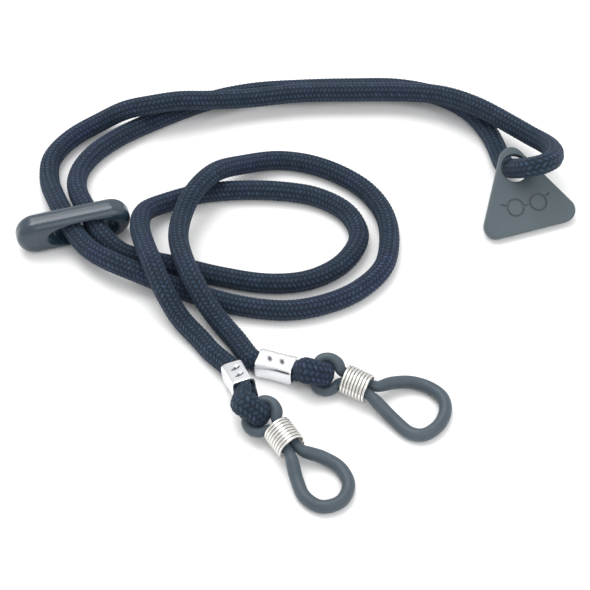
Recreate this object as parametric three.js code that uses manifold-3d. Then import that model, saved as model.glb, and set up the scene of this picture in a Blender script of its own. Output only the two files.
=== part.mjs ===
// Spectacle retainer strap: one braided cord, doubled back through a flat tag, gathered by a slider
// bead, and ended on both sides by a crimped ferrule, a folded cord eye and an adjustable rubber loop.
// Millimetres, +Z up. The strap lies on a table at z = 0, with the two rubber loops towards -Y.
import * as THREE from 'three';
import Module from 'manifold-3d';
import { mergeVertices } from 'three/addons/utils/BufferGeometryUtils.js';

const wasm = await Module();
wasm.setup();

// ---- driving dimensions -------------------------------------------------------------------------
const CORD_RADIUS = 2.0;
const SHEATH_BORE = 1.1;          // radius of the hollow that holds the core
const CORE_RADIUS = 0.8;
const CORD_STEPS_PER_SPAN = 2;    // tube steps between two route points
const ROUTE_SIDES = 8;

const SLIDER = {
  centre: [-44.25, 14.75, 4.0], yaw: 16, length: 23, height: 8, depth: 5, edge: 1.1,
  slotOffset: 2.0, slotWidth: 12.2, slotHeight: 4.8, mouthWidth: 15.4, mouthHeight: 6.4, throat: 1.6,
};

const TAG = {
  base: [47.88, 16.19, 0.95], yaw: 18.5, tilt: 30, side: 23.2, corner: 2.5, thickness: 1.6,
  holeUp: 13.1, holeRadius: 2.8, markUp: 5.2, markRadius: 1.7, markGap: 4.9, markLine: 0.45, markDepth: 0.3,
};

const FERRULE = { length: 7.2, width: 4.6, height: 4.4, wall: 0.4, corner: 1.2, dimple: 0.75 };
const EYE = { ringRadius: 2.4, halfThick: 1.2, halfWidth: 2.0, neckRadius: 1.45 };
const RUBBER = { radius: 1.22, squeezed: 1.0, inEye: 0.92, legs: 1.05 };
const COIL = { turns: 8, wire: 0.55, radius: 2.65 };

// Each end: where the ferrule starts and ends, the middle of the eye's hole, how far the hole's axis
// leans up from level (degrees), where the coil starts and ends, and the open part of the loop as
// [distance past the coil, distance to the side, height].
const ENDS = [
  { side: 'left', ferruleFrom: [-11.65, -20.9, 2.6], ferruleTo: [-9.3, -27.1, 5.05],
    eye: [-7.85, -31.15, 4.3], lean: 25, coilFrom: [-3.55, -34.6, 3.7], coilTo: [-0.3, -39.3, 3.2],
    loop: [[1.4, -1.4, 2.9], [5.0, -2.7, 1.7], [8.7, -3.5, 1.3], [12.1, -2.2, 1.3], [13.1, 1.4, 1.3],
      [11.0, 4.5, 1.3], [7.1, 5.4, 1.3], [3.8, 4.0, 1.8], [1.0, 1.4, 2.8]] },
  { side: 'right', ferruleFrom: [-6.9, -18.55, 2.3], ferruleTo: [-0.1, -20.9, 2.6],
    eye: [3.75, -22.0, 3.7], lean: 37, coilFrom: [9.2, -23.0, 3.35], coilTo: [14.2, -25.7, 3.05],
    loop: [[0.9, -1.3, 2.8], [3.1, -2.0, 2.2], [6.3, -3.1, 1.6], [10.2, -4.2, 1.3], [12.6, -3.4, 1.3],
      [14.1, -0.1, 1.3], [13.7, 3.6, 1.3], [11.9, 6.0, 1.3], [8.8, 6.9, 1.3], [5.3, 6.2, 1.6],
      [2.5, 4.1, 2.1], [0.6, 1.5, 2.8]] },
];

// The cord's route from the right ferrule round the loop, through the slider, along the back, through
// the tag's hole and home again to the left ferrule. Two lists, because it passes each place twice.
const ROUTE_OUT = [
  [-7.4, -18.35, 2.25], [-8.4, -17.5, 2.1], [-9.55, -15.7, 2.05], [-11.3, -12.8, 2.05], [-13.6, -9.9, 2.4],
  [-15.4, -7.9, 3.4], [-17.1, -5.9, 4.7], [-18.8, -3.5, 6.3], [-20.4, -0.4, 7.2], [-22.0, 4.4, 6.9],
  [-23.0, 10.0, 6.2], [-22.4, 16.0, 5.9], [-20.4, 21.4, 6.5], [-16.2, 27.4, 6.1], [-10.2, 32.4, 3.2],
  [-3.5, 34.6, 2.05], [3.4, 33.4, 2.05], [10.0, 30.0, 2.05], [15.0, 25.4, 2.05], [18.2, 19.0, 2.05],
  [18.8, 12.0, 2.05], [17.2, 5.0, 2.05], [12.0, -0.8, 2.05], [5.4, -4.2, 2.05], [-1.4, -5.6, 2.05],
  [-9.0, -4.8, 2.05], [-17.0, -2.4, 2.05], [-24.5, 0.2, 2.8], [-31.5, 2.8, 4.0], [-36.5, 5.0, 4.6],
  [-40.5, 8.2, 4.3], [-43.2, 11.9, 4.0], [-45.5, 16.2, 4.0], [-48.4, 22.8, 3.4], [-50.3, 29.0, 2.05],
  [-50.3, 34.8, 2.05], [-46.8, 40.8, 2.05], [-40.5, 45.2, 2.9], [-35.4, 46.2, 5.2], [-30.2, 46.4, 6.5],
];
const ROUTE_HOME = [
  [-24.1, 47.8, 6.4], [-19.3, 48.7, 5.6], [-15.0, 49.7, 4.8], [-9.5, 50.7, 4.3], [1.1, 52.2, 4.3],
  [11.6, 52.5, 4.3], [22.2, 52.4, 4.4], [30.6, 50.3, 5.6], [37.6, 46.4, 6.3], [45.6, 40.2, 6.2],
  [48.6, 37.5, 6.3], [50.8, 35.0, 7.0], [52.1, 31.9, 8.4], [52.2, 28.2, 10.2], [51.0, 25.1, 11.7],
  [48.5, 23.5, 12.1], [46.0, 24.3, 10.6], [44.6, 27.0, 7.6], [43.4, 30.2, 4.5], [42.7, 34.2, 2.4],
  [41.8, 38.8, 2.05], [40.4, 43.0, 2.05], [37.0, 48.8, 2.05], [31.4, 53.2, 2.05], [22.5, 56.0, 2.05],
  [11.8, 56.2, 2.05], [1.1, 55.8, 2.05], [-9.6, 54.7, 2.05], [-19.5, 51.6, 2.05], [-30.5, 45.6, 2.05],
  [-36.8, 41.3, 2.05], [-41.7, 36.4, 2.05], [-44.3, 31.3, 2.05], [-44.3, 25.6, 3.0], [-41.4, 18.2, 4.0],
  [-38.7, 13.0, 3.8], [-34.7, 9.2, 2.5], [-29.6, 7.4, 2.05], [-24.0, 5.9, 2.05], [-15.0, 3.1, 2.05],
  [-5.0, 1.2, 2.05], [3.0, 2.2, 2.05], [9.6, 6.6, 2.05], [12.8, 13.4, 2.05], [10.6, 19.8, 2.05],
  [4.6, 24.2, 2.05], [-2.0, 25.8, 2.05], [-10.5, 26.2, 2.05], [-19.3, 25.2, 2.05], [-26.1, 22.4, 2.4],
  [-30.2, 18.6, 3.8], [-30.8, 13.4, 5.3], [-29.4, 7.0, 6.9], [-27.6, 1.4, 8.0], [-25.4, -3.6, 6.3],
  [-22.1, -8.2, 3.0], [-18.2, -12.6, 2.05], [-15.7, -16.0, 2.05], [-13.6, -18.1, 2.05], [-12.25, -19.65, 2.25],
];

// Moves the whole strap so that the middle of its outline on the table is the origin.
const CENTRE_ON_ORIGIN = [-0.45, -3.3, 0];

// ---- materials ----------------------------------------------------------------------------------
const material = (color, roughness, metalness) => new THREE.MeshStandardMaterial({ color, roughness, metalness });
const NAVY = material(0x2b2f42, 0.85, 0);
const CORE_GREY = material(0x1c1f2b, 0.9, 0);
const RUBBER_GREY = material(0x46535f, 0.6, 0);
const MOULDED_GREY = material(0x3c4850, 0.45, 0);
const TAG_GREY = material(0x5d6d72, 0.6, 0);
const NICKEL = material(0xc9cbcd, 0.25, 1);

// ---- helpers ------------------------------------------------------------------------------------
const vec = (p) => new THREE.Vector3(...p);
const radians = THREE.MathUtils.degToRad;

function solidOf(geometry) {
  const g = geometry.clone();
  g.deleteAttribute('normal');
  g.deleteAttribute('uv');
  const merged = mergeVertices(g, 1e-4);
  return new wasm.Manifold(new wasm.Mesh({
    numProp: 3,
    vertProperties: new Float32Array(merged.attributes.position.array),
    triVerts: new Uint32Array(merged.index.array),
  }));
}

function geometryOf(solid) {
  const { vertProperties, triVerts } = solid.getMesh();
  const g = new THREE.BufferGeometry();
  g.setAttribute('position', new THREE.BufferAttribute(vertProperties, 3));
  g.setIndex(new THREE.BufferAttribute(triVerts, 1));
  return g;
}

function named(name, geometry, surface) {
  const mesh = new THREE.Mesh(geometry, surface);
  mesh.name = name;
  return mesh;
}

function polygon(radius, sides) {
  const ring = [];
  for (let i = 0; i < sides; i += 1) {
    const a = ((i + 0.5) / sides) * 2 * Math.PI;
    ring.push(new THREE.Vector2(radius * Math.cos(a), radius * Math.sin(a)));
  }
  return ring;
}

function roundedRect(width, height, r) {
  const [x, y] = [width / 2, height / 2];
  const s = new THREE.Shape();
  s.moveTo(-x + r, -y);
  s.lineTo(x - r, -y);
  s.absarc(x - r, -y + r, r, -Math.PI / 2, 0);
  s.lineTo(x, y - r);
  s.absarc(x - r, y - r, r, 0, Math.PI / 2);
  s.lineTo(-x + r, y);
  s.absarc(-x + r, y - r, r, Math.PI / 2, Math.PI);
  s.lineTo(-x, -y + r);
  s.absarc(-x + r, -y + r, r, Math.PI, 1.5 * Math.PI);
  return s;
}

// A closed tube whose radius follows radiusAt(point) along a closed curve.
function closedTube(curve, steps, sides, radiusAt) {
  const g = new THREE.TubeGeometry(curve, steps, 1, sides, true);
  const { position } = g.attributes;
  const p = new THREE.Vector3();
  for (let i = 0; i <= steps; i += 1) {
    const middle = curve.getPointAt((i % steps) / steps);
    for (let j = 0; j <= sides; j += 1) {
      const k = i * (sides + 1) + j;
      p.fromBufferAttribute(position, k).sub(middle).multiplyScalar(radiusAt(middle)).add(middle);
      position.setXYZ(k, p.x, p.y, p.z);
    }
  }
  return g;
}

// ---- cord ---------------------------------------------------------------------------------------
// The route with its points spaced by the route's own spans, so that tight places get short steps.
class RouteCurve extends THREE.CatmullRomCurve3 {
  getPointAt(u, target) { return this.getPoint(u, target); }

  getTangentAt(u, target) { return this.getTangent(u, target); }

  getSpacedPoints(divisions) { return this.getPoints(divisions); }
}

function sweptCord(shape) {
  const points = [...ROUTE_OUT, ...ROUTE_HOME].map(vec);
  const steps = (points.length - 1) * CORD_STEPS_PER_SPAN;
  return new THREE.ExtrudeGeometry(shape, { steps, bevelEnabled: false, extrudePath: new RouteCurve(points) });
}

function cordSheath() {
  const shape = new THREE.Shape(polygon(CORD_RADIUS, ROUTE_SIDES));
  shape.holes.push(new THREE.Path(polygon(SHEATH_BORE, ROUTE_SIDES)));
  return named('cord_sheath', sweptCord(shape), NAVY);
}

function cordCore() {
  return named('cord_core', sweptCord(new THREE.Shape(polygon(CORE_RADIUS, ROUTE_SIDES))), CORE_GREY);
}

// ---- slider bead --------------------------------------------------------------------------------
// Local frame: X along the bead, Y through its slot, Z up.
function sliderBody() {
  const { length, height, depth, edge } = SLIDER;
  const outline = roundedRect(length - 2 * edge, height - 2 * edge, height / 2 - edge - 0.01);
  const g = new THREE.ExtrudeGeometry(outline, {
    depth: depth - 2 * edge, curveSegments: 8, bevelThickness: edge, bevelSize: edge, bevelSegments: 3,
  });
  g.translate(0, 0, edge - depth / 2);
  return g.rotateX(Math.PI / 2);
}

// An oval funnel that widens the slot towards one face; side is +1 or -1.
function sliderMouth(side) {
  const { depth, throat, slotOffset, slotWidth, mouthWidth, mouthHeight } = SLIDER;
  const reach = depth / 2 - throat / 2;
  const outer = mouthWidth / 2;
  const inner = slotWidth / 2;
  const beyond = 0.6;
  const slope = (outer - inner) / reach;
  const g = new THREE.CylinderGeometry(outer + slope * beyond, inner, reach + beyond, 28);
  g.translate(0, (reach + beyond) / 2, 0);
  g.scale(1, 1, mouthHeight / mouthWidth);
  g.translate(0, throat / 2, 0);
  if (side < 0) g.rotateZ(Math.PI);
  return g.translate(slotOffset, 0, 0);
}

function sliderBead() {
  const slot = new THREE.ExtrudeGeometry(roundedRect(SLIDER.slotWidth, SLIDER.slotHeight, 1.6), {
    depth: SLIDER.depth + 2, curveSegments: 4, bevelEnabled: false,
  });
  slot.translate(0, 0, -SLIDER.depth / 2 - 1).rotateX(Math.PI / 2).translate(SLIDER.slotOffset, 0, 0);
  const solid = solidOf(sliderBody())
    .subtract(solidOf(slot))
    .subtract(solidOf(sliderMouth(1)))
    .subtract(solidOf(sliderMouth(-1)));
  const mesh = named('slider_bead', geometryOf(solid), MOULDED_GREY);
  mesh.position.set(...SLIDER.centre);
  mesh.rotation.z = radians(SLIDER.yaw);
  return mesh;
}

// ---- tag ----------------------------------------------------------------------------------------
// Local frame: X along the base edge, Y up the plate, Z out of its face.
function tagOutline() {
  const { side, corner } = TAG;
  const inset = corner / Math.tan(Math.PI / 6);
  const high = (side * Math.sqrt(3)) / 2;
  const corners = [[-side / 2 + inset, corner], [side / 2 - inset, corner], [0, high - 2 * corner]];
  const s = new THREE.Shape();
  corners.forEach(([x, y], i) => {
    const from = -Math.PI / 2 - (2 * Math.PI) / 3 + i * ((2 * Math.PI) / 3);
    s.absarc(x, y, corner, from, from + (2 * Math.PI) / 3);
  });
  const hole = new THREE.Path();
  hole.absarc(0, TAG.holeUp, TAG.holeRadius, 0, 2 * Math.PI, true);
  s.holes.push(hole);
  return s;
}

// A plain pair of spectacles, sunk into the face: two rings and a bridge.
function tagMark() {
  const { markRadius, markLine, markGap, markDepth } = TAG;
  const shapes = [-1, 1].map((side) => {
    const ring = new THREE.Shape();
    ring.absarc((side * markGap) / 2, 0, markRadius + markLine / 2, 0, 2 * Math.PI);
    const inside = new THREE.Path();
    inside.absarc((side * markGap) / 2, 0, markRadius - markLine / 2, 0, 2 * Math.PI, true);
    ring.holes.push(inside);
    return ring;
  });
  const bridge = markGap / 2 - markRadius;
  const bar = roundedRect(2 * bridge, markLine, markLine / 2 - 0.01);
  const solids = [...shapes, bar].map((shape) => solidOf(new THREE.ExtrudeGeometry(shape, {
    depth: 2 * markDepth, curveSegments: 12, bevelEnabled: false,
  })));
  return solids[0].add(solids[1]).add(solids[2]).translate([0, TAG.markUp, TAG.thickness / 2 - markDepth]);
}

function tag() {
  const bevel = 0.25;
  const plate = new THREE.ExtrudeGeometry(tagOutline(), {
    depth: TAG.thickness - 2 * bevel, curveSegments: 12, bevelThickness: bevel, bevelSize: bevel,
    bevelOffset: -bevel, bevelSegments: 2,
  });
  plate.translate(0, 0, bevel - TAG.thickness / 2);
  const mesh = named('tag', geometryOf(solidOf(plate).subtract(tagMark())), TAG_GREY);
  mesh.rotation.x = radians(TAG.tilt);
  const turned = new THREE.Group();
  turned.position.set(...TAG.base);
  turned.rotation.z = radians(TAG.yaw);
  turned.add(mesh);
  return turned;
}

// ---- strap ends ---------------------------------------------------------------------------------
const UP = new THREE.Vector3(0, 0, 1);

// The vectors one end is built on: the way the ferrule, the eye's pull and the coil point.
function endFrame(end) {
  const eye = vec(end.eye);
  const along = vec(end.ferruleTo).sub(vec(end.ferruleFrom)).normalize();
  const pull = vec(end.coilFrom).sub(eye).normalize();
  const coil = vec(end.coilTo).sub(vec(end.coilFrom)).normalize();
  const level = UP.clone().cross(pull).normalize();
  const above = pull.clone().cross(level);
  const lean = radians(end.lean);
  const pin = level.clone().multiplyScalar(Math.cos(lean)).addScaledVector(above, Math.sin(lean));
  return { eye, along, pull, coil, pin, side: UP.clone().cross(coil).normalize() };
}

function ferrule(end) {
  const { length, width, height, wall, corner, dimple } = FERRULE;
  const shape = roundedRect(width, height, corner);
  const bore = roundedRect(width - 2 * wall, height - 2 * wall, corner - wall);
  shape.holes.push(new THREE.Path(bore.getPoints(4).reverse()));
  const tube = new THREE.ExtrudeGeometry(shape, { depth: length, curveSegments: 4, bevelEnabled: false });
  let solid = solidOf(tube);
  for (const place of [0.33, 0.67]) {
    const pit = new THREE.SphereGeometry(dimple, 12, 8);
    pit.translate(0, height / 2 + dimple - wall * 0.6, place * length);
    solid = solid.subtract(solidOf(pit));
  }
  const mesh = named(`ferrule_${end.side}`, geometryOf(solid), NICKEL);
  const { along } = endFrame(end);
  const sideways = UP.clone().cross(along).normalize();
  mesh.quaternion.setFromRotationMatrix(new THREE.Matrix4().makeBasis(sideways, along.clone().cross(sideways), along));
  mesh.position.copy(vec(end.ferruleTo)).addScaledVector(along, -length);
  return mesh;
}

// The folded end of the cord: a flattened ring round the rubber, and the doubled neck in the ferrule.
function cordEye(end) {
  const { eye, along, pull, pin } = endFrame(end);
  const ring = new THREE.TorusGeometry(EYE.ringRadius, EYE.halfThick, 10, 20);
  ring.scale(1, 1, EYE.halfWidth / EYE.halfThick);
  ring.applyMatrix4(new THREE.Matrix4().makeBasis(pull, pin.clone().cross(pull), pin).setPosition(eye));
  const to = vec(end.ferruleTo);
  const inPlane = to.clone().sub(eye).projectOnPlane(pin);
  const inRing = eye.clone().add(inPlane.setLength(EYE.ringRadius));
  const back = (distance) => to.clone().addScaledVector(along, -distance);
  const path = new THREE.CatmullRomCurve3([back(FERRULE.length - 0.3), back(2.5), back(0), inRing]);
  const neck = new THREE.ExtrudeGeometry(new THREE.Shape(polygon(EYE.neckRadius, ROUTE_SIDES)), {
    steps: 6, bevelEnabled: false, extrudePath: path,
  });
  return named(`cord_eye_${end.side}`, geometryOf(solidOf(ring).add(solidOf(neck))), NAVY);
}

// Half of the rubber's bight round the cord eye, as [along the pull, along the pin].
const BIGHT = [[0.1, 1.5], [0.7, 2.7], [2.2, 3.2], [3.78, 2.56], [4.82, 1.22]];

// The rubber's closed centre line: round the cord eye, side by side through the coil, then the open loop.
function rubberLine(end) {
  const { eye, pull, coil, pin, side } = endFrame(end);
  const inEye = ([a, w]) => eye.clone().addScaledVector(pull, a).addScaledVector(pin, w);
  const bight = (sign) => BIGHT.map(([a, w]) => inEye([a, sign * w]));
  const length = vec(end.coilFrom).distanceTo(vec(end.coilTo));
  const leg = (sign) => [0.14, 0.37, 0.63, 0.97].map((t) => vec(end.coilFrom)
    .addScaledVector(coil, t * length).addScaledVector(side, sign * RUBBER.legs));
  const heading = coil.clone().setZ(0).normalize();
  const open = end.loop.map(([a, w, z]) => vec(end.coilTo).addScaledVector(heading, a)
    .addScaledVector(side, w).setZ(z));
  return new THREE.CatmullRomCurve3([
    inEye([0, 0]), ...bight(-1), ...leg(-1), ...open, ...leg(1).reverse(), ...bight(1).reverse(),
  ], true);
}

function rubberLoop(end) {
  const line = rubberLine(end);
  const { eye, coil } = endFrame(end);
  const length = vec(end.coilFrom).distanceTo(vec(end.coilTo));
  const radiusAt = (p) => {
    const a = p.clone().sub(vec(end.coilFrom)).dot(coil);
    const entered = THREE.MathUtils.smoothstep(a, -2.0, -0.4);
    const left = THREE.MathUtils.smoothstep(a, length + 0.2, length + 2.2);
    const inEye = 1 - THREE.MathUtils.smoothstep(p.distanceTo(eye), 3.6, 5.4);
    const inCoil = entered * (1 - left);
    return RUBBER.radius - (RUBBER.radius - RUBBER.squeezed) * inCoil - (RUBBER.radius - RUBBER.inEye) * inEye;
  };
  return named(`rubber_loop_${end.side}`, closedTube(line, 84, 8, radiusAt), RUBBER_GREY);
}

class Helix extends THREE.Curve {
  constructor(radius, pitch, turns) {
    super();
    Object.assign(this, { radius, pitch, turns });
  }

  getPoint(t, target = new THREE.Vector3()) {
    const a = t * this.turns * 2 * Math.PI;
    return target.set(this.radius * Math.cos(a), this.radius * Math.sin(a), t * this.turns * this.pitch);
  }
}

function coilSleeve(end) {
  const { turns, wire, radius } = COIL;
  const from = vec(end.coilFrom);
  const pitch = (from.distanceTo(vec(end.coilTo)) - wire) / turns;
  const spring = new THREE.ExtrudeGeometry(new THREE.Shape(polygon(wire / 2, 6)), {
    steps: turns * 16, bevelEnabled: false, extrudePath: new Helix(radius, pitch, turns),
  });
  const { coil, side } = endFrame(end);
  const mesh = named(`coil_sleeve_${end.side}`, spring, NICKEL);
  mesh.quaternion.setFromRotationMatrix(new THREE.Matrix4().makeBasis(side, coil.clone().cross(side), coil));
  mesh.position.copy(from).addScaledVector(coil, wire / 2);
  return mesh;
}

// ---- assembly -----------------------------------------------------------------------------------
const strap = new THREE.Group();
strap.position.set(...CENTRE_ON_ORIGIN);
strap.add(cordSheath(), cordCore(), sliderBead(), tag());
for (const end of ENDS) {
  strap.add(ferrule(end), cordEye(end), rubberLoop(end), coilSleeve(end));
}

export default strap;
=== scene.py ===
"""Looks of the spectacle retainer strap: braided cord, rubber loops, metal ends, slider bead and tag.
Lengths are written in millimetres, as in the CAD model, and turned into metres where meshes are made."""
import math

import bmesh
import bpy
import numpy as np
from mathutils import Matrix, Vector


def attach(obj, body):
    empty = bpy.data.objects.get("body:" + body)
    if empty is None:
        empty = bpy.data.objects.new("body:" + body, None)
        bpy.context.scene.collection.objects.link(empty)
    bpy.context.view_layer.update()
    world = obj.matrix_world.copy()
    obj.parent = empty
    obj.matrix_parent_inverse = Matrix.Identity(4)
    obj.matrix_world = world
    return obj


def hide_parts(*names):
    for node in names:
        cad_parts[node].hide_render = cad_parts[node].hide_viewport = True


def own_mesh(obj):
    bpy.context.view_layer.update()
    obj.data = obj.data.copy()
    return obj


MM = 0.001
SHIFT = np.array((-0.45, -3.3, 0.0))  # the CAD model's own centring shift

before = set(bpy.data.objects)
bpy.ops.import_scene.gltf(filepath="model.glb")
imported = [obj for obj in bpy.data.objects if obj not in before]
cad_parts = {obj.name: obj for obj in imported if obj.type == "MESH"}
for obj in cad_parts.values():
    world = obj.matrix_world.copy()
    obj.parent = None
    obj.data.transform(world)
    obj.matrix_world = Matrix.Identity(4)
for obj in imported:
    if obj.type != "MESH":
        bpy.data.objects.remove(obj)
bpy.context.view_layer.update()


# ---- camera -------------------------------------------------------------------------------------
def add_camera():
    elevation = math.radians(50)
    distance = 380
    data = bpy.data.cameras.new("camera")
    data.sensor_width = 36
    data.lens = 118.25
    data.clip_start = 0.01
    cam = bpy.data.objects.new("camera", data)
    bpy.context.scene.collection.objects.link(cam)
    out = np.array((0, -math.cos(elevation), math.sin(elevation))) * distance
    cam.location = Vector((SHIFT + out) * MM)
    cam.rotation_euler = (math.radians(90) - elevation, 0, 0)
    bpy.context.scene.camera = cam


add_camera()


# ---- curves -------------------------------------------------------------------------------------
def unit(v):
    v = np.asarray(v, float)
    return v / np.linalg.norm(v)


def catmull(points, closed=False, per=24):
    """Samples a centripetal Catmull-Rom spline through the points, `per` to a span."""
    pts = [np.array(p, float) for p in points]
    n = len(pts)
    out = []
    spans = n if closed else n - 1
    for i in range(spans):
        p1, p2 = pts[i], pts[(i + 1) % n]
        if closed:
            p0, p3 = pts[i - 1], pts[(i + 2) % n]
        else:
            p0 = pts[i - 1] if i > 0 else p1 * 2 - p2
            p3 = pts[i + 2] if i + 2 < n else p2 * 2 - p1
        d0, d1, d2 = (max(np.dot(b - a, b - a) ** 0.25, 1e-4) for a, b in ((p0, p1), (p1, p2), (p2, p3)))
        t1 = ((p1 - p0) / d0 - (p2 - p0) / (d0 + d1) + (p2 - p1) / d1) * d1
        t2 = ((p2 - p1) / d1 - (p3 - p1) / (d1 + d2) + (p3 - p2) / d2) * d1
        t = (np.arange(per) / per)[:, None]
        c2 = -3 * p1 + 3 * p2 - 2 * t1 - t2
        c3 = 2 * p1 - 2 * p2 + t1 + t2
        out.append(p1 + t1 * t + c2 * t**2 + c3 * t**3)
    line = np.concatenate(out)
    return line if closed else np.vstack([line, pts[-1]])


def resample(line, step, closed=False):
    """The same line with even steps of about `step`."""
    if closed:
        line = np.vstack([line, line[:1]])
    along = np.concatenate([[0], np.cumsum(np.linalg.norm(np.diff(line, axis=0), axis=1))])
    count = max(int(round(along[-1] / step)), 4)
    s = np.linspace(0, along[-1], count + 1)
    if closed:
        s = s[:-1]
    return np.stack([np.interp(s, along, line[:, k]) for k in range(3)], 1), s


def eased(line, step, reach=9):
    """The line with its tightest corners softened over `reach` steps to either side."""
    line, _ = resample(line, step)
    weights = np.hanning(2 * reach + 3)[1:-1]
    weights /= weights.sum()
    held = np.vstack([2 * line[0] - line[reach:0:-1], line, 2 * line[-1] - line[-2:-reach - 2:-1]])
    return np.stack([np.convolve(held[:, k], weights, "valid") for k in range(3)], 1)


def tangents(line, closed=False):
    if closed:
        t = np.roll(line, -1, 0) - np.roll(line, 1, 0)
    else:
        t = np.gradient(line, axis=0)
    return t / np.linalg.norm(t, axis=1)[:, None]


def carried_frames(line, start):
    """Normals carried along an open line without twist, and their binormals."""
    t = tangents(line)
    normals = np.empty_like(line)
    n = unit(start - t[0] * np.dot(start, t[0]))
    for i, d in enumerate(t):
        n = n - d * np.dot(n, d)
        n /= np.linalg.norm(n)
        normals[i] = n
    return normals, np.cross(t, normals)


def leaning_frames(line, guide, closed=False):
    """Normals that keep pointing towards the guide direction, and their binormals."""
    t = tangents(line, closed)
    g = np.broadcast_to(guide, line.shape)
    n = g - t * np.sum(g * t, 1)[:, None]
    n /= np.linalg.norm(n, axis=1)[:, None]
    return n, np.cross(t, n)


# ---- meshes -------------------------------------------------------------------------------------
def link(name, mesh):
    obj = bpy.data.objects.new(name, mesh)
    bpy.context.scene.collection.objects.link(obj)
    return obj


def grid_mesh(name, points, close_rows=False, caps=True, attributes=None):
    """A tube from an array of rings (rows, sides, 3) in millimetres."""
    rows, sides, _ = points.shape
    verts = points.reshape(-1, 3) * MM
    r = np.arange(rows if close_rows else rows - 1)
    a, b = np.meshgrid(r, np.arange(sides), indexing="ij")
    a2, b2 = (a + 1) % rows, (b + 1) % sides
    quads = np.stack([a * sides + b, a * sides + b2, a2 * sides + b2, a2 * sides + b], -1).reshape(-1, 4)
    faces = [tuple(q) for q in quads.tolist()]
    if caps and not close_rows:
        faces.append(tuple(range(sides - 1, -1, -1)))
        faces.append(tuple((rows - 1) * sides + i for i in range(sides)))
    mesh = bpy.data.meshes.new(name)
    mesh.from_pydata([tuple(v) for v in verts.tolist()], [], faces)
    mesh.polygons.foreach_set("use_smooth", [True] * len(mesh.polygons))
    for key, values in (attributes or {}).items():
        kind = "FLOAT" if values.ndim == 1 else "FLOAT_VECTOR"
        layer = mesh.attributes.new(key, kind, "POINT")
        layer.data.foreach_set("value" if kind == "FLOAT" else "vector", values.astype(np.float32).ravel())
    mesh.update()
    return link(name, mesh)


def sharpen(obj, degrees=35):
    """Smooth faces with hard edges above an angle."""
    bm = bmesh.new()
    bm.from_mesh(obj.data)
    limit = math.radians(degrees)
    for f in bm.faces:
        f.smooth = True
    for e in bm.edges:
        e.smooth = not (len(e.link_faces) == 2 and e.calc_face_angle(0) > limit)
    bm.to_mesh(obj.data)
    bm.free()


def baked(obj):
    """Applies an object's modifiers to its mesh."""
    depsgraph = bpy.context.evaluated_depsgraph_get()
    mesh = bpy.data.meshes.new_from_object(obj.evaluated_get(depsgraph))
    old = obj.data
    obj.modifiers.clear()
    obj.data = mesh
    bpy.data.meshes.remove(old)
    return obj


def removed(obj):
    bpy.data.objects.remove(obj, do_unlink=True)


# ---- braid --------------------------------------------------------------------------------------
YARNS = 12         # yarns each way
LAY = 10.4         # length of one yarn's turn round the cord


def braid(theta, z, lay=LAY):
    """Height 0..1, place across and along the stitch, and a number for the stitch."""
    turn = 2 * np.pi * z / lay
    r = (theta - turn) * YARNS / (2 * np.pi)
    l = (theta + turn) * YARNS / (2 * np.pi)
    i, j = np.round(r), np.round(l)
    dr, dl = r - i, l - j
    phase = np.mod(i + j, 4)
    right_up = phase < 2
    across = np.where(right_up, dr, dl)
    lengthwise = np.where(right_up, dl + np.where(phase == 0, -0.5, 0.5), dr + np.where(phase == 2, -0.5, 0.5))
    rise = np.sqrt(np.clip(1 - (1.94 * across) ** 2, 0, 1))
    dip = np.clip(np.cos(lengthwise * np.pi / 2 * 0.97), 0, 1) ** 0.55
    yarn = np.where(right_up, i, j)
    row = np.floor((i + j) / 4) - YARNS / 2 * np.floor(yarn / YARNS)
    which = np.mod(yarn, YARNS) + np.where(right_up, 0, YARNS) + row * 2.37
    stitch = np.mod(np.sin(which * 12.9898) * 43758.5453, 1)
    return rise * dip, across, lengthwise, stitch


def braided_tube(name, line, s, normals, binormals, half_n, half_b, sides=60, relief=0.2, lay=LAY):
    """A braided tube; half_n and half_b are its half sizes along the normals and binormals."""
    theta = np.linspace(0, 2 * np.pi, sides, endpoint=False)
    th, z = np.meshgrid(theta, s, indexing="xy")
    height, across, lengthwise, stitch = braid(th, z, lay)
    drop = relief * (1 - height)
    hn = np.broadcast_to(np.asarray(half_n, float), s.shape)[:, None] - drop
    hb = np.broadcast_to(np.asarray(half_b, float), s.shape)[:, None] - drop
    points = (line[:, None] + normals[:, None] * (hn * np.cos(th))[..., None]
              + binormals[:, None] * (hb * np.sin(th))[..., None])
    info = np.stack([across, lengthwise, stitch], -1).reshape(-1, 3)
    # The relief attribute also darkens the braid's hollows in its material: painted shade.
    return grid_mesh(name, points, attributes={"stitch": info, "relief": height.ravel()})


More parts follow.
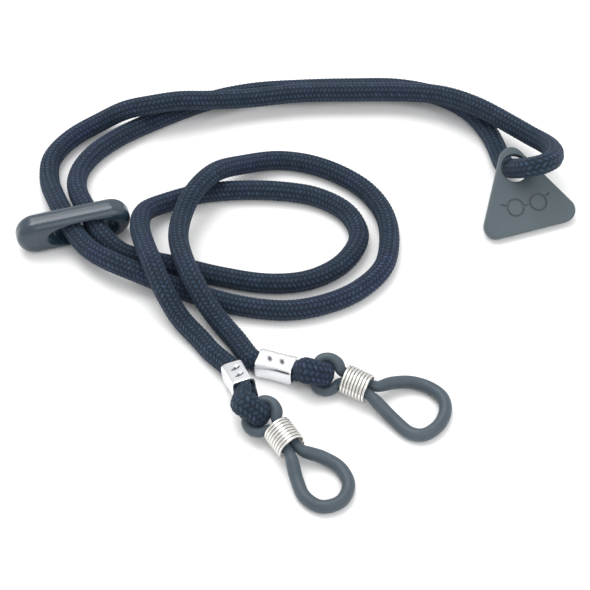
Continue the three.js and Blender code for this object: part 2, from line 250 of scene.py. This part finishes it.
# ---- materials ----------------------------------------------------------------------------------
class Nodes:
    """Short way to build a node material."""

    def __init__(self, name, **sockets):
        self.mat = bpy.data.materials.new(name)
        self.mat.use_nodes = True
        self.tree = self.mat.node_tree
        self.shader = self.tree.nodes["Principled BSDF"]
        for key, value in sockets.items():
            self.shader.inputs[key.replace("_", " ")].default_value = value

    def add(self, kind, links=None, **settings):
        node = self.tree.nodes.new(kind)
        for key, value in settings.items():
            if hasattr(node, key):
                setattr(node, key, value)
            else:
                node.inputs[key.replace("_", " ")].default_value = value
        for key, source in (links or {}).items():
            self.tree.links.new(source, node.inputs[key])
        return node

    def into(self, socket, source):
        self.tree.links.new(source, self.shader.inputs[socket])

    def math(self, operation, a, b=None):
        node = self.tree.nodes.new("ShaderNodeMath")
        node.operation = operation
        for k, value in enumerate((a, b)):
            if value is None:
                continue
            if isinstance(value, (int, float)):
                node.inputs[k].default_value = value
            else:
                self.tree.links.new(value, node.inputs[k])
        return node.outputs[0]

    def ramp(self, source, stops):
        node = self.add("ShaderNodeValToRGB", {"Fac": source})
        ramp = node.color_ramp
        while len(ramp.elements) < len(stops):
            ramp.elements.new(0.5)
        for element, (place, colour) in zip(ramp.elements, stops):
            element.position = place
            element.color = (*colour, 1)
        return node.outputs["Color"]

    def mix(self, factor, a, b, blend="MIX"):
        node = self.tree.nodes.new("ShaderNodeMix")
        node.data_type = "RGBA"
        node.blend_type = blend
        for socket, value in ((node.inputs[0], factor), (node.inputs[6], a), (node.inputs[7], b)):
            if isinstance(value, (int, float)):
                socket.default_value = value
            elif isinstance(value, tuple):
                socket.default_value = (*value, 1)
            else:
                self.tree.links.new(value, socket)
        return node.outputs[2]

    def noise(self, scale, detail=3.0, roughness=0.55):
        coords = self.add("ShaderNodeTexCoord").outputs["Object"]
        node = self.add("ShaderNodeTexNoise", {"Vector": coords}, Scale=scale, Detail=detail, Roughness=roughness)
        return node.outputs["Fac"]

    def bump(self, height, distance, strength=1.0, below=None):
        links = {"Height": height}
        if below is not None:
            links["Normal"] = below
        node = self.add("ShaderNodeBump", links, Distance=distance, Strength=strength)
        return node.outputs["Normal"]


def braid_material():
    m = Nodes("navy_braid", Roughness=0.72, Sheen_Weight=0.1, Sheen_Roughness=0.45, Specular_IOR_Level=0.3)
    m.shader.inputs["Sheen Tint"].default_value = (0.42, 0.6, 0.82, 1)
    stitch = m.add("ShaderNodeAttribute", attribute_name="stitch")
    parts = m.add("ShaderNodeSeparateXYZ", {"Vector": stitch.outputs["Vector"]})
    relief = m.add("ShaderNodeAttribute", attribute_name="relief").outputs["Fac"]
    across, which = parts.outputs[0], parts.outputs[2]
    wobble = m.math("MULTIPLY", m.noise(2600, 2.0), 2.4)
    filament = m.math("SINE", m.math("ADD", m.math("MULTIPLY", across, 28), wobble))
    fibre = m.math("ADD", m.math("MULTIPLY", filament, 0.5), 0.5)
    # Navy base colour, darker towards the hollows between the yarns where relief is low: painted shade in the
    # braid's crevices.
    body = m.ramp(relief, [(0.0, (0.0012, 0.0024, 0.005)), (0.45, (0.006, 0.0122, 0.0228)),
                           (0.8, (0.0175, 0.0325, 0.057)), (1.0, (0.038, 0.065, 0.104))])
    tint = m.ramp(which, [(0.0, (0.62, 0.74, 0.82)), (0.35, (1.0, 0.98, 1.04)),
                          (0.7, (0.84, 1.0, 0.98)), (1.0, (1.42, 1.36, 1.42))])
    colour = m.mix(1.0, body, tint, "MULTIPLY")
    threads = m.ramp(fibre, [(0.0, (0.62, 0.62, 0.66)), (1.0, (1.22, 1.22, 1.25))])
    colour = m.mix(1.0, colour, threads, "MULTIPLY")
    patches = m.ramp(m.noise(95, 4.0), [(0.3, (0.74, 0.98, 0.96)), (0.52, (1.0, 1.0, 1.0)),
                                        (0.74, (1.24, 1.04, 1.32))])
    colour = m.mix(1.0, colour, patches, "MULTIPLY")
    m.into("Base Color", colour)
    rough = m.ramp(fibre, [(0.0, (0.85, 0.85, 0.85)), (1.0, (0.62, 0.62, 0.62))])
    m.into("Roughness", rough)
    fine = m.bump(fibre, 0.00005, 0.8)
    m.into("Normal", m.bump(m.noise(5200, 2.0), 0.00004, 0.5, fine))
    return m.mat


def rubber_material():
    m = Nodes("grey_rubber", Roughness=0.5, Specular_IOR_Level=0.45, Sheen_Weight=0.08)
    clouds = m.noise(160, 5.0, 0.6)
    m.into("Base Color", m.ramp(clouds, [(0.3, (0.033, 0.051, 0.067)), (0.55, (0.044, 0.065, 0.083)),
                                         (0.8, (0.061, 0.082, 0.1))]))
    m.into("Roughness", m.ramp(m.noise(700, 4.0), [(0.3, (0.42, 0.42, 0.42)), (0.75, (0.6, 0.6, 0.6))]))
    coarse = m.bump(m.noise(900, 3.0), 0.00005, 0.35)
    m.into("Normal", m.bump(m.noise(5200, 2.0), 0.00002, 0.35, coarse))
    return m.mat


def nickel_material(name, base, rough_low, rough_high, grain):
    m = Nodes(name, Metallic=1.0)
    plate = m.ramp(m.noise(240, 4.0), [(0.3, tuple(0.86 * c for c in base)), (0.7, base)])
    # The punched pits are mixed towards dark grey: painted shade in the dimples.
    punched = m.add("ShaderNodeAttribute", attribute_name="punched").outputs["Fac"]
    pit_shade = m.ramp(punched, [(0.25, (0, 0, 0)), (0.75, (1, 1, 1))])
    m.into("Base Color", m.mix(pit_shade, plate, (0.1, 0.1, 0.115)))
    m.into("Roughness", m.ramp(m.noise(grain, 5.0, 0.65), [(0.3, (rough_low,) * 3), (0.75, (rough_high,) * 3)]))
    m.into("Normal", m.bump(m.noise(grain * 2.4, 3.0), 0.00002, 0.3))
    return m.mat


def moulded_material(name, low, high, rough_low, rough_high, grain, coat=0.0):
    m = Nodes(name, Specular_IOR_Level=0.5, Coat_Weight=coat, Coat_Roughness=0.12)
    m.into("Base Color", m.ramp(m.noise(130, 5.0, 0.6), [(0.3, low), (0.75, high)]))
    m.into("Roughness", m.ramp(m.noise(520, 4.0), [(0.3, (rough_low,) * 3), (0.75, (rough_high,) * 3)]))
    coarse = m.bump(m.noise(grain, 3.0), 0.00003, 0.22)
    m.into("Normal", m.bump(m.noise(grain * 3.5, 2.0), 0.000015, 0.35, coarse))
    return m.mat


BRAID = braid_material()
RUBBER_MAT = rubber_material()
FERRULE_MAT = nickel_material("bright_nickel", (0.86, 0.87, 0.9), 0.12, 0.26, 900)
WIRE_MAT = nickel_material("nickel_wire", (0.8, 0.79, 0.76), 0.16, 0.3, 1400)
SLIDER_MAT = moulded_material("slider_plastic", (0.013, 0.027, 0.043), (0.021, 0.041, 0.06), 0.22, 0.32, 500, 0.25)
TAG_MAT = moulded_material("tag_plastic", (0.051, 0.074, 0.087), (0.064, 0.09, 0.103), 0.42, 0.56, 1100)


def finished(obj, material, body, slot, *nodes):
    obj.data.materials.clear()
    obj.data.materials.append(material)
    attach(obj, body)
    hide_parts(*nodes)
    return obj


# ---- cord ---------------------------------------------------------------------------------------
ROUTE_OUT = [
    (-7.4, -18.35, 2.25), (-8.4, -17.5, 2.1), (-9.55, -15.7, 2.05), (-11.3, -12.8, 2.05), (-13.6, -9.9, 2.4),
    (-15.4, -7.9, 3.4), (-17.1, -5.9, 4.7), (-18.8, -3.5, 6.3), (-20.4, -0.4, 7.2), (-22.0, 4.4, 6.9),
    (-23.0, 10.0, 6.2), (-22.4, 16.0, 5.9), (-20.4, 21.4, 6.5), (-16.2, 27.4, 6.1), (-10.2, 32.4, 3.2),
    (-3.5, 34.6, 2.05), (3.4, 33.4, 2.05), (10.0, 30.0, 2.05), (15.0, 25.4, 2.05), (18.2, 19.0, 2.05),
    (18.8, 12.0, 2.05), (17.2, 5.0, 2.05), (12.0, -0.8, 2.05), (5.4, -4.2, 2.05), (-1.4, -5.6, 2.05),
    (-9.0, -4.8, 2.05), (-17.0, -2.4, 2.05), (-24.5, 0.2, 2.8), (-31.5, 2.8, 4.0), (-36.5, 5.0, 4.6),
    (-40.5, 8.2, 4.3), (-43.2, 11.9, 4.0), (-45.5, 16.2, 4.0), (-48.4, 22.8, 3.4), (-50.3, 29.0, 2.05),
    (-50.3, 34.8, 2.05), (-46.8, 40.8, 2.05), (-40.5, 45.2, 2.9), (-35.4, 46.2, 5.2), (-30.2, 46.4, 6.5),
]
ROUTE_HOME = [
    (-24.1, 47.8, 6.4), (-19.3, 48.7, 5.6), (-15.0, 49.7, 4.8), (-9.5, 50.7, 4.3), (1.1, 52.2, 4.3),
    (11.6, 52.5, 4.3), (22.2, 52.4, 4.4), (30.6, 50.3, 5.6), (37.6, 46.4, 6.3), (45.6, 40.2, 6.2),
    (48.6, 37.5, 6.3), (50.8, 35.0, 7.0), (52.1, 31.9, 8.4), (52.2, 28.2, 10.2), (51.0, 25.1, 11.7),
    (48.5, 23.5, 12.1), (46.0, 24.3, 10.6), (44.6, 27.0, 7.6), (43.4, 30.2, 4.5), (42.7, 34.2, 2.4),
    (41.8, 38.8, 2.05), (40.4, 43.0, 2.05), (37.0, 48.8, 2.05), (31.4, 53.2, 2.05), (22.5, 56.0, 2.05),
    (11.8, 56.2, 2.05), (1.1, 55.8, 2.05), (-9.6, 54.7, 2.05), (-19.5, 51.6, 2.05), (-30.5, 45.6, 2.05),
    (-36.8, 41.3, 2.05), (-41.7, 36.4, 2.05), (-44.3, 31.3, 2.05), (-44.3, 25.6, 3.0), (-41.4, 18.2, 4.0),
    (-38.7, 13.0, 3.8), (-34.7, 9.2, 2.5), (-29.6, 7.4, 2.05), (-24.0, 5.9, 2.05), (-15.0, 3.1, 2.05),
    (-5.0, 1.2, 2.05), (3.0, 2.2, 2.05), (9.6, 6.6, 2.05), (12.8, 13.4, 2.05), (10.6, 19.8, 2.05),
    (4.6, 24.2, 2.05), (-2.0, 25.8, 2.05), (-10.5, 26.2, 2.05), (-19.3, 25.2, 2.05), (-26.1, 22.4, 2.4),
    (-30.2, 18.6, 3.8), (-30.8, 13.4, 5.3), (-29.4, 7.0, 6.9), (-27.6, 1.4, 8.0), (-25.4, -3.6, 6.3),
    (-22.1, -8.2, 3.0), (-18.2, -12.6, 2.05), (-15.7, -16.0, 2.05), (-13.6, -18.1, 2.05), (-12.25, -19.65, 2.25),
]

FERRULE_LENGTH = 7.2
ENDS = {
    "left": dict(
        ferrule_from=(-11.65, -20.9, 2.6), ferrule_to=(-9.3, -27.1, 5.05), eye=(-7.85, -31.15, 4.3), lean=25,
        coil_from=(-3.55, -34.6, 3.7), coil_to=(-0.3, -39.3, 3.2),
        loop=[(1.4, -1.4, 2.9), (5.0, -2.7, 1.7), (8.7, -3.5, 1.3), (12.1, -2.2, 1.3), (13.1, 1.4, 1.3),
              (11.0, 4.5, 1.3), (7.1, 5.4, 1.3), (3.8, 4.0, 1.8), (1.0, 1.4, 2.8)]),
    "right": dict(
        ferrule_from=(-6.9, -18.55, 2.3), ferrule_to=(-0.1, -20.9, 2.6), eye=(3.75, -22.0, 3.7), lean=37,
        coil_from=(9.2, -23.0, 3.35), coil_to=(14.2, -25.7, 3.05),
        loop=[(0.9, -1.3, 2.8), (3.1, -2.0, 2.2), (6.3, -3.1, 1.6), (10.2, -4.2, 1.3), (12.6, -3.4, 1.3),
              (14.1, -0.1, 1.3), (13.7, 3.6, 1.3), (11.9, 6.0, 1.3), (8.8, 6.9, 1.3), (5.3, 6.2, 1.6),
              (2.5, 4.1, 2.1), (0.6, 1.5, 2.8)]),
}
UP = np.array((0.0, 0.0, 1.0))


def end_frame(end):
    """Points of one strap end in the row frame (mm), and the directions it is built on."""
    f = {k: np.array(end[k], float) + SHIFT for k in ("ferrule_from", "ferrule_to", "eye", "coil_from", "coil_to")}
    f["along"] = unit(f["ferrule_to"] - f["ferrule_from"])
    f["pull"] = unit(f["coil_from"] - f["eye"])
    f["coil"] = unit(f["coil_to"] - f["coil_from"])
    level = unit(np.cross(UP, f["pull"]))
    lean = math.radians(end["lean"])
    f["pin"] = level * math.cos(lean) + np.cross(f["pull"], level) * math.sin(lean)
    f["side"] = unit(np.cross(UP, f["coil"]))
    f["heading"] = unit(f["coil"] * (1, 1, 0))
    return f


FRAMES = {side: end_frame(end) for side, end in ENDS.items()}


def add_cord():
    start, finish = FRAMES["right"], FRAMES["left"]
    inside = 1.3  # how far the cord goes into each ferrule
    mouth = [f["ferrule_to"] - f["along"] * (FERRULE_LENGTH - inside) for f in (start, finish)]
    route = [np.array(p) + SHIFT for p in ROUTE_OUT + ROUTE_HOME]
    step = 0.215  # between rings of the mesh
    line, s = resample(eased(catmull([mouth[0]] + route + [mouth[1]], per=16), step), step)
    normals, binormals = carried_frames(line, UP)
    total = s[-1]
    nearest = np.minimum(s, total - s)
    pinch = 0.82 + 0.18 * np.clip((nearest - inside * 0.8) / 1.6, 0, 1)  # narrower in the ferrules
    radius = 2.06 * pinch
    cord = braided_tube("braided_cord", line, s, normals, binormals, radius, radius)
    finished(cord, BRAID, "strap", "sheath", "cord_sheath", "cord_core")


add_cord()


# ---- cord eyes ----------------------------------------------------------------------------------
def add_cord_eye(side):
    """The folded cord end: out of the ferrule, round the rubber and back, squeezed flat where it turns."""
    f = FRAMES[side]
    eye, pin, to, along = f["eye"], f["pin"], f["ferrule_to"], f["along"]
    towards = unit((to - eye) - pin * np.dot(to - eye, pin))
    across = np.cross(pin, towards)

    def on_ring(angle):
        a = math.radians(angle)
        radius = 2.42 + 0.3 * math.exp(-((abs(angle) - 62) / 34) ** 2)
        return eye + (towards * math.cos(a) + across * math.sin(a)) * radius

    def strand(sign):
        flat = unit(across - along * np.dot(across, along)) * sign * 0.88
        return [to - along * 1.6 + flat, to + along * 0.1 + flat] + [on_ring(sign * a) for a in (52, 88, 124, 156)]

    points = strand(1) + [on_ring(180)] + strand(-1)[::-1]
    line, s = resample(catmull(points, per=24), 0.16)
    normals, binormals = leaning_frames(line, pin)
    ends = np.clip(np.minimum(s, s[-1] - s) / 4.5, 0, 1)
    shoulder = np.exp(-((np.abs(s - s[-1] / 2) - 4.6) / 1.6) ** 2)
    wide = 1.62 + 0.66 * ends + 0.26 * shoulder
    thin = 0.84 + 0.44 * ends + 0.24 * shoulder
    piece = braided_tube(f"cord_end_{side}", line, s, normals, binormals, wide, thin, sides=48, relief=0.17, lay=9.0)
    finished(piece, BRAID, "strap", "sheath", f"cord_eye_{side}")


# ---- rubber loops -------------------------------------------------------------------------------
BIGHT = [(0.1, 1.5), (0.7, 2.7), (2.2, 3.2), (3.78, 2.56), (4.82, 1.22)]  # along the pull, along the pin
LEGS = 1.05         # each leg inside the coil, off its axis
RUBBER_RADIUS = 1.24


def smooth(x, low, high):
    t = np.clip((x - low) / (high - low), 0, 1)
    return t * t * (3 - 2 * t)


def rubber_line(side):
    """The loop's centre line, and the coil's length."""
    f = FRAMES[side]
    length = np.linalg.norm(f["coil_to"] - f["coil_from"])
    bight = {k: [f["eye"] + f["pull"] * a + f["pin"] * k * w for a, w in BIGHT] for k in (-1, 1)}
    leg = {k: [f["coil_from"] + f["coil"] * t * length + f["side"] * k * LEGS for t in (0.14, 0.37, 0.63, 0.97)]
           for k in (-1, 1)}
    spread = []
    for a, w, z in ENDS[side]["loop"]:
        p = f["coil_to"] + f["heading"] * a + f["side"] * w
        spread.append(np.array((p[0], p[1], z)))
    points = [f["eye"]] + bight[-1] + leg[-1] + spread + leg[1][::-1] + bight[1][::-1]
    return catmull(points, closed=True, per=16), length


def add_rubber_loop(side):
    """One closed loop, thinner where the coil and the cord end squeeze it."""
    f = FRAMES[side]
    line, length = rubber_line(side)
    line, _ = resample(line, 0.22, closed=True)
    a = (line - f["coil_from"]) @ f["coil"]
    in_coil = smooth(a, -2.0, -0.4) * (1 - smooth(a, length + 0.2, length + 2.2))
    in_eye = 1 - smooth(np.linalg.norm(line - f["eye"], axis=1), 3.6, 5.4)
    radius = RUBBER_RADIUS - 0.22 * in_coil - 0.3 * in_eye
    normals, binormals = leaning_frames(line, UP * 0.2 + f["pin"] * 0.02, closed=True)
    theta = np.linspace(0, 2 * np.pi, 36, endpoint=False)
    ring = normals[:, None] * np.cos(theta)[None, :, None] + binormals[:, None] * np.sin(theta)[None, :, None]
    piece = grid_mesh(f"rubber_{side}", line[:, None] + ring * radius[:, None, None], close_rows=True)
    finished(piece, RUBBER_MAT, f"loop_{side}", "rubber", f"rubber_loop_{side}")
    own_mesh(piece)


# ---- coil sleeves -------------------------------------------------------------------------------
def add_coil(side, turns=8, wire=0.29, radius=2.64):
    f = FRAMES[side]
    length = np.linalg.norm(f["coil_to"] - f["coil_from"])
    pitch = (length - 0.55) / turns
    t = np.linspace(0, turns, turns * 40 + 1)
    angle = t * 2 * np.pi
    up = np.cross(f["coil"], f["side"])
    flat = np.clip(np.minimum(t, turns - t) / 0.8, 0, 1)
    shrink = radius - 0.12 * (1 - flat)
    line = (f["coil_from"] + f["coil"] * (0.275 + t * pitch)[:, None]
            + f["side"] * (shrink * np.cos(angle))[:, None] + up * (shrink * np.sin(angle))[:, None])
    outward = f["side"] * np.cos(angle)[:, None] + up * np.sin(angle)[:, None]
    tangent = tangents(line)
    outward -= tangent * np.sum(outward * tangent, 1)[:, None]
    outward /= np.linalg.norm(outward, axis=1)[:, None]
    other = np.cross(tangent, outward)
    theta = np.linspace(0, 2 * np.pi, 14, endpoint=False)
    taper = 0.55 + 0.45 * np.clip(np.minimum(t, turns - t) / 0.08, 0, 1)
    ring = outward[:, None] * np.cos(theta)[None, :, None] + other[:, None] * np.sin(theta)[None, :, None]
    piece = grid_mesh(f"coil_{side}", line[:, None] + ring * (wire * taper)[:, None, None])
    finished(piece, WIRE_MAT, f"sleeve_{side}", "coil", f"coil_sleeve_{side}")


# ---- ferrules -----------------------------------------------------------------------------------
def superellipse(theta, power):
    c, s = np.cos(theta), np.sin(theta)
    r = (np.abs(c) ** power + np.abs(s) ** power) ** (-1 / power)
    return c * r, s * r


def add_ferrule(side):
    f = FRAMES[side]
    z_axis = f["along"]
    x_axis = unit(np.cross(UP, z_axis))
    y_axis = np.cross(z_axis, x_axis)
    start = f["ferrule_to"] - z_axis * FERRULE_LENGTH
    sides, rows = 132, 110
    theta = np.linspace(0, 2 * np.pi, sides, endpoint=False)
    sx, sy = superellipse(theta, 5.0)
    z = np.linspace(0, FERRULE_LENGTH, rows)
    lip = 0.12 * (1 - np.clip(np.minimum(z, FERRULE_LENGTH - z) / 0.35, 0, 1)) ** 2
    waist = 0.1 * np.sin(np.pi * z / FERRULE_LENGTH) ** 2
    grid = np.zeros((rows, sides, 3))
    grid[..., 0] = sx[None] * (2.3 - lip - waist)[:, None]
    grid[..., 1] = sy[None] * (2.2 - lip)[:, None]
    grid[..., 2] = z[:, None]
    punched = np.zeros((rows, sides))
    for place in (0.33, 0.67):
        dx, dz = grid[..., 0], grid[..., 2] - place * FERRULE_LENGTH
        mark = np.exp(-(dx**2 / 0.62**2 + (dz + 0.35 * dx) ** 2 / 0.42**2))
        punched = np.maximum(punched, np.where(grid[..., 1] > 1.2, mark, 0))
    grid[..., 1] -= 0.38 * punched
    inner = grid[::-1].copy()
    inner[..., 0] = sx[None] * 1.9
    inner[..., 1] = sy[None] * 1.78
    shell = np.concatenate([grid, inner])
    world = start + shell[..., :1] * x_axis + shell[..., 1:2] * y_axis + shell[..., 2:] * z_axis
    # The punched attribute marks the pits, which the nickel material darkens as painted shade.
    marks = np.concatenate([punched, np.zeros_like(punched)]).ravel()
    piece = grid_mesh(f"crimp_{side}", world, close_rows=True, attributes={"punched": marks})
    sharpen(piece, 50)
    finished(piece, FERRULE_MAT, "strap", "ferrule", f"ferrule_{side}")


# ---- slider bead --------------------------------------------------------------------------------
SLIDER = dict(centre=(-44.25, 14.75, 4.0), yaw=16, length=23.0, height=8.0, depth=5.0, offset=1.2)


def stadium(count, half_length, radius):
    """Points round a stadium outline, evenly spaced."""
    straight = 2 * (half_length - radius)
    total = 2 * straight + 2 * math.pi * radius
    points = []
    for k in range(count):
        d = total * k / count
        if d < straight:
            points.append((half_length - radius - d, radius))
        elif d < straight + math.pi * radius:
            a = math.pi / 2 + (d - straight) / radius
            points.append((-(half_length - radius) + radius * math.cos(a), radius * math.sin(a)))
        elif d < 2 * straight + math.pi * radius:
            points.append((-(half_length - radius) + d - straight - math.pi * radius, -radius))
        else:
            a = -math.pi / 2 + (d - 2 * straight - math.pi * radius) / radius
            points.append((half_length - radius + radius * math.cos(a), radius * math.sin(a)))
    return np.array(points)


def slider_block():
    """Rings across the bead's depth, rounded towards both faces."""
    half_depth, edge = SLIDER["depth"] / 2, 1.9
    profile = [(-half_depth, edge)]
    profile += [(-half_depth + edge * (1 - math.cos(a)), edge * (1 - math.sin(a)))
                for a in np.linspace(0.12, math.pi / 2, 9)]
    profile += [(y, 0.0) for y in np.linspace(-half_depth + edge, half_depth - edge, 7)[1:-1]]
    profile += [(-y, inset) for y, inset in profile[:10][::-1]]
    rings = []
    for y, inset in profile:
        xz = stadium(180, SLIDER["length"] / 2 - inset, SLIDER["height"] / 2 - inset)
        rings.append(np.stack([xz[:, 0], np.full(len(xz), y), xz[:, 1]], 1))
    return np.array(rings)


def slider_cutter():
    """The slot through the bead, narrow in the middle and flared to both faces."""
    sides = 96
    theta = np.linspace(0, 2 * np.pi, sides, endpoint=False)
    rings = []
    for y in np.linspace(-3.4, 3.4, 41):
        flare = max(abs(y) - 0.5, 0) / 2.0
        grow = flare**1.7
        left, right, high = 5.3 + 1.7 * grow, 6.9 + 0.8 * grow, 2.4 + 0.45 * grow
        sx, sz = superellipse(theta, 3.2 - 0.9 * min(flare, 1))
        x = SLIDER["offset"] + sx * np.where(sx < 0, left, right)
        rings.append(np.stack([x, np.full(sides, y), sz * high], 1))
    return np.array(rings)


def oriented(obj):
    """Turns a mesh's faces outwards."""
    bm = bmesh.new()
    bm.from_mesh(obj.data)
    bmesh.ops.recalc_face_normals(bm, faces=bm.faces)
    bm.to_mesh(obj.data)
    bm.free()
    return obj


def cut_with(obj, tool):
    """Takes tool's shape out of obj."""
    cut = obj.modifiers.new("cut", "BOOLEAN")
    cut.operation = "DIFFERENCE"
    cut.solver = "EXACT"
    cut.object = tool
    baked(obj)
    removed(tool)


def add_slider():
    block = oriented(grid_mesh("slider", slider_block()))
    cutter = oriented(grid_mesh("slider_cutter", slider_cutter()))
    cut_with(block, cutter)
    remesh = block.modifiers.new("remesh", "REMESH")
    remesh.mode = "VOXEL"
    remesh.voxel_size = 0.14 * MM
    soften = block.modifiers.new("soften", "SMOOTH")
    soften.iterations = 6
    baked(block)
    block.data.polygons.foreach_set("use_smooth", [True] * len(block.data.polygons))
    turn = Matrix.Rotation(math.radians(SLIDER["yaw"]), 4, "Z")
    move = Matrix.Translation(Vector((np.array(SLIDER["centre"]) + SHIFT) * MM))
    block.data.transform(move @ turn)
    finished(block, SLIDER_MAT, "slider", "slider", "slider_bead")


# ---- tag ----------------------------------------------------------------------------------------
TAG = dict(base=(47.88, 16.19, 0.95), yaw=18.5, tilt=30, side=23.2, corner=2.5, thickness=1.6, hole_up=13.1,
           hole=2.8)


def arc(centre, radius, start, end, count):
    return [(centre[0] + radius * math.cos(a), centre[1] + radius * math.sin(a))
            for a in np.linspace(start, end, count)]


def tag_outline():
    side, corner = TAG["side"], TAG["corner"]
    inset = corner / math.tan(math.pi / 6)
    high = side * math.sqrt(3) / 2
    points = []
    for i, centre in enumerate([(-side / 2 + inset, corner), (side / 2 - inset, corner), (0, high - 2 * corner)]):
        start = -math.pi / 2 - 2 * math.pi / 3 + i * 2 * math.pi / 3
        points += arc(centre, corner, start, start + 2 * math.pi / 3, 22)
    return points


def flat_solid(name, outlines, thickness, bevel):
    """A plate from closed outlines (mm), holes included, with rounded edges."""
    data = bpy.data.curves.new(name, "CURVE")
    data.dimensions = "2D"
    data.fill_mode = "BOTH"
    data.extrude = thickness / 2 - bevel
    data.bevel_depth = bevel
    data.bevel_resolution = 4
    data.offset = -bevel
    for outline in outlines:
        spline = data.splines.new("POLY")
        spline.points.add(len(outline) - 1)
        spline.points.foreach_set("co", np.array([(x, y, 0, 1) for x, y in outline], float).ravel())
        spline.use_cyclic_u = True
    curve = link(name + "_curve", data)
    depsgraph = bpy.context.evaluated_depsgraph_get()
    mesh = bpy.data.meshes.new_from_object(curve.evaluated_get(depsgraph))
    removed(curve)
    bm = bmesh.new()
    bm.from_mesh(mesh)
    bmesh.ops.remove_doubles(bm, verts=bm.verts, dist=1e-4)
    bmesh.ops.recalc_face_normals(bm, faces=bm.faces)
    bm.to_mesh(mesh)
    bm.free()
    mesh.transform(Matrix.Scale(MM, 4))
    return link(name, mesh)


def add_tag():
    hole = arc((0, TAG["hole_up"]), TAG["hole"], 0, 2 * math.pi, 73)[:-1]
    plate = flat_solid("hang_tag", [tag_outline(), hole], TAG["thickness"], 0.3)
    depth, edge = 0.3, 0.04
    ring_out, up = 2.45, 5.2  # a ring's centre, off the middle and above the base
    marks = []
    for sign in (-1, 1):
        ring = [arc((sign * ring_out, up), r, 0, 2 * math.pi, 49)[:-1] for r in (1.93, 1.47)]
        marks.append(flat_solid("mark_ring", ring, 2 * depth, edge))
    bridge = [(-0.7, 5.0), (0.7, 5.0), (0.7, 5.42), (-0.7, 5.42)]
    marks.append(flat_solid("mark_bridge", [bridge], 2 * depth, edge))
    for sign in (-1, 1):
        arm = [(sign * 4.2, 5.75), (sign * 5.3, 6.35), (sign * 5.15, 6.65), (sign * 4.1, 6.15)]
        marks.append(flat_solid("mark_arm", [arm], 2 * depth, edge))
    for mark in marks:
        mark.data.transform(Matrix.Translation((0, 0, TAG["thickness"] / 2 * MM)))
        cut_with(plate, oriented(mark))
    sharpen(plate, 40)
    turn = Matrix.Rotation(math.radians(TAG["yaw"]), 4, "Z") @ Matrix.Rotation(math.radians(TAG["tilt"]), 4, "X")
    plate.data.transform(Matrix.Translation(Vector((np.array(TAG["base"]) + SHIFT) * MM)) @ turn)
    finished(plate, TAG_MAT, "tag", "tag", "tag")


for side in ENDS:
    add_cord_eye(side)
    add_rubber_loop(side)
    add_coil(side)
    add_ferrule(side)
add_slider()
add_tag()


# ---- floor and light ----------------------------------------------------------------------------
def add_floor():
    mesh = bpy.data.meshes.new("floor")
    reach = 2.5
    corners = [(-reach, -reach, 0), (reach, -reach, 0), (reach, reach, 0), (-reach, reach, 0)]
    mesh.from_pydata(corners, [], [(0, 1, 2, 3)])
    floor = link("floor", mesh)
    m = Nodes("floor_paper", Roughness=0.9, Specular_IOR_Level=0.1)
    m.into("Base Color", m.ramp(m.noise(6, 2.0), [(0.3, (0.9, 0.9, 0.9)), (0.7, (0.92, 0.92, 0.92))]))
    mesh.materials.append(m.mat)


def add_light(name, place, size, power):
    data = bpy.data.lights.new(name, "AREA")
    data.shape = "DISK"
    data.size = size
    data.energy = power
    light = bpy.data.objects.new(name, data)
    bpy.context.scene.collection.objects.link(light)
    light.location = place
    light.rotation_euler = (-Vector(place)).to_track_quat("-Z", "Y").to_euler()


def add_world():
    world = bpy.data.worlds.new("studio")
    world.use_nodes = True
    background = world.node_tree.nodes["Background"]
    background.inputs["Color"].default_value = (1, 1, 1, 1)
    background.inputs["Strength"].default_value = 1.0
    bpy.context.scene.world = world


add_floor()
add_light("key", (-0.2, 0.34, 0.84), 0.7, 5.2)
add_light("fill", (0.5, -0.6, 0.8), 0.9, 2.6)
add_world()
bpy.context.scene.view_settings.view_transform = "Standard"
